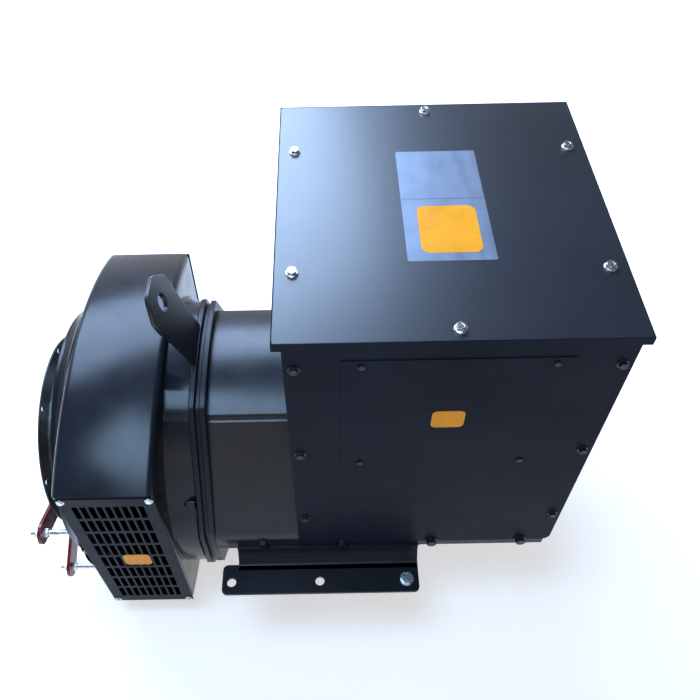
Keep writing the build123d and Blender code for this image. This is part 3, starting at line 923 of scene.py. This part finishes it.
class HEAD_OT_end_housing(bpy.types.Operator):
    """End housing with the generous round of its pressed corners"""

    bl_idname = "head.end_housing"
    bl_label = "End housing"

    def execute(self, context):
        node = frame["nodes"]["de_adaptor"]

        def outer(edge, x):
            a, b = (v.co for v in edge.verts)
            level = abs(a.x - x) < 1e-4 and abs(b.x - x) < 1e-4
            return level and min(a.yz.length, b.yz.length) > BARREL_OUTER

        def corner(edge):
            if len(edge.link_faces) != 2 or not edge.is_convex:
                return False
            return edge.calc_face_angle(0.0) >= math.radians(HOUSING_SHARP)

        def build(form):
            form.from_mesh(node.data)
            bmesh.ops.remove_doubles(form, verts=form.verts[:], dist=1e-6)
            bmesh.ops.dissolve_limit(form, angle_limit=math.radians(1.0), verts=form.verts[:],
                                     edges=form.edges[:])
            chosen = [edge for edge in form.edges
                      if corner(edge) and any(outer(edge, x) for x in HOUSING_ENDS)]
            if not chosen:
                raise RuntimeError("the end housing has no outer edges to round")
            bmesh.ops.bevel(form, geom=chosen, offset=HOUSING_ROUND, offset_type="OFFSET",
                            segments=4, profile=0.5, affect="EDGES", clamp_overlap=False)
            behind = max(HOUSING_ENDS) + BARREL_BEHIND
            for v in form.verts:
                size = v.co.yz.length
                if v.co.x > behind and v.co.z > 0.0 and BARREL_INNER < size < BARREL_OUTER:
                    ring = reach_at(RING_OUTLINE, v.co.y, v.co.z) - BARREL_CLEAR
                    share = min(1.0, v.co.z / BARREL_BLEND)
                    v.co.yz = v.co.yz * (size + (min(size, ring) - size) * share) / size

        paint = enamel("housing enamel", colours().enamel, rough=0.24, edge=0.003, gloss=0.24)
        housing = piece("end_housing", build, paint)
        sharpen(housing, 24.0)
        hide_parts("de_adaptor")
        return {"FINISHED"}


class HEAD_OT_transit_bars(bpy.types.Operator):
    """Red transit straps crossing over the coupling disc"""

    bl_idname = "head.transit_bars"
    bl_label = "Transit bars"

    def execute(self, context):
        paint = enamel("strap red", colours().red, rough=0.26, dust=0.03, edge=0.002)
        low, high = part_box("transit_bar_upper")
        thick = high[0] - low[0]
        (top_y, top_z), (bottom_y, bottom_z) = STRAP_TOP, STRAP_BOTTOM
        turns = [math.radians(k * STRAP_STEP_DEG) for k in range(STRAP_ROUND_STEPS)]
        stations = [STRAP_HALF * (1 - math.cos(a)) for a in turns]
        ends = [(d - STRAP_HALF,
                 math.sqrt(max(0.0, STRAP_HALF ** 2 - (STRAP_HALF - d) ** 2)) + STRAP_TIP)
                for d in stations]
        for node, start_at, end_at, lift in (
            ("transit_bar_upper", (-top_y, top_z), (bottom_y, bottom_z), 0.0),
            ("transit_bar_lower", (-bottom_y, bottom_z), (top_y, top_z), thick + STRAP_GAP),
        ):
            a, b = Vector(start_at), Vector(end_at)
            along = (b - a).normalized()
            side = Vector((-along.y, along.x))
            run = (b - a).length

            def build(form):
                line = ends + [(run / 2 + m, STRAP_HALF) for m in STRAP_CROSSING]
                line += [(run - t, w) for t, w in reversed(ends)]
                rows = []
                for t, w in line:
                    out = lift if abs(t - run / 2) < STRAP_LIFTED else 0.0
                    near, far = low[0] - out, high[0] - out
                    row = []
                    for x, k in ((near, -1), (far, -1), (far, 1), (near, 1)):
                        at = a + along * t + side * (w * k)
                        row.append(form.verts.new((x, at.x, at.y)))
                    rows.append(row)
                for p, q in zip(rows, rows[1:]):
                    join_loops(form, p, q)
                form.faces.new(rows[0])
                form.faces.new(rows[-1])

            strap = piece(f"{node}_strap", build, paint)
            soften(strap, 0.0016, 3)
            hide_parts(node)
        return {"FINISHED"}


class HEAD_OT_painted_shade_ring(bpy.types.Operator):
    """Thin dark ring between the spigot and the coupling disc, painted shade over the floor seen
    through the grille
    """

    bl_idname = "head.spigot_guard"
    bl_label = "Painted shade ring"

    def execute(self, context):
        def build(form):
            rings = []
            for k in range(SHADE_RING_SIDES):
                a = 2 * math.pi * k / SHADE_RING_SIDES
                rings.append([form.verts.new((x, r * math.cos(a), r * math.sin(a)))
                              for x, r in SHADE_RING_SECTION])
            for p, q in zip(rings, rings[1:] + rings[:1]):
                join_loops(form, p, q)

        # Black enamel ring standing in for the shade inside the gap
        shade_blocker = piece("spigot_guard", build,
                      enamel("painted shade ring enamel", colours().enamel, rough=0.5, gloss=0.1))
        sharpen(shade_blocker, 30.0)
        return {"FINISHED"}


class HEAD_OT_feet(bpy.types.Operator):
    """Pressed side feet with rolled webs and rounded corners"""

    bl_idname = "head.feet"
    bl_label = "Feet"

    def execute(self, context):
        paint = enamel("foot enamel", colours().enamel, rough=0.36, dust=0.2, gloss=0.15)
        for node, side in (("foot_front", -1), ("foot_rear", 1)):
            low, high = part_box(node)
            inner = min(abs(low[1]), abs(high[1]))
            outer = max(abs(low[1]), abs(high[1]))
            base, top = low[2], high[2]
            upright = [(inner + FOOT_THICK + out, top - down) for out, down in WEB_TOP]
            bend = [(inner + out, base + up) for out, up in WEB_BEND]
            web = [(side * y, z) for y, z in upright + bend]
            under = [(side * (y - FOOT_THICK), z) for y, z in upright]
            under += [(side * (inner + out), base + up) for out, up in WEB_UNDER]
            sheet = piece(f"{node}_web", lambda form: sweep_section(form, web, under,
                                                                    low[0] + WEB_START, high[0]),
                          paint)
            sharpen(sheet, 40.0)
            width = outer - inner - FLANGE_IN
            mid = (low[0] + high[0]) / 2
            seat = Matrix.Translation((mid, side * (outer - width / 2), base))
            outline = rounded_outline(high[0] - low[0], width, FLANGE_CORNER)
            holes = [(x - mid, side * (FOOT_HOLES_Y - outer + width / 2), FOOT_HOLE_RADIUS)
                     for x in FOOT_HOLES_X]
            flange = piece(f"{node}_flange",
                           lambda form: plate(form, outline, holes, FOOT_THICK, seat), paint)
            soften(flange, 0.0012, 2)
            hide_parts(node)
        return {"FINISHED"}


class HEAD_PT_panel(bpy.types.Panel):
    """Buttons and values for the alternator head"""

    bl_idname = "HEAD_PT_panel"
    bl_label = "Alternator Head"
    bl_space_type = "VIEW_3D"
    bl_region_type = "UI"
    bl_category = "Alternator Head"

    def draw(self, context):
        for operator in OPERATORS:
            self.layout.operator(operator.bl_idname)
        for group in (context.scene.head_sizes, context.scene.head_colours):
            for key in group.__annotations__:
                self.layout.prop(group, key)


OPERATORS = (
    HEAD_OT_stage, HEAD_OT_frame_finish, HEAD_OT_lid_skin, HEAD_OT_foil_plate, HEAD_OT_side_tags,
    HEAD_OT_lid_screws, HEAD_OT_wrap, HEAD_OT_joint_ring, HEAD_OT_lifting_lug,
    HEAD_OT_end_housing, HEAD_OT_transit_bars, HEAD_OT_painted_shade_ring, HEAD_OT_feet,
)
CLASSES = (HeadSizes, HeadColours, *OPERATORS, HEAD_PT_panel)


def register():
    """Register the classes and put the values on the scene."""
    for cls in CLASSES:
        bpy.utils.register_class(cls)
    bpy.types.Scene.head_sizes = PointerProperty(type=HeadSizes)
    bpy.types.Scene.head_colours = PointerProperty(type=HeadColours)


def unregister():
    """Take the values and the classes away again."""
    del bpy.types.Scene.head_colours
    del bpy.types.Scene.head_sizes
    for cls in reversed(CLASSES):
        bpy.utils.unregister_class(cls)


def main():
    """Build the stage and dress the frame, piece by piece."""
    register()
    bpy.ops.head.stage()
    bpy.ops.head.frame_finish()
    bpy.ops.head.lid_skin()
    bpy.ops.head.foil_plate()
    bpy.ops.head.side_tags()
    bpy.ops.head.lid_screws()
    bpy.ops.head.wrap()
    bpy.ops.head.joint_ring()
    bpy.ops.head.lifting_lug()
    bpy.ops.head.end_housing()
    bpy.ops.head.transit_bars()
    bpy.ops.head.spigot_guard()
    bpy.ops.head.feet()


if __name__ == "__main__":
    main()
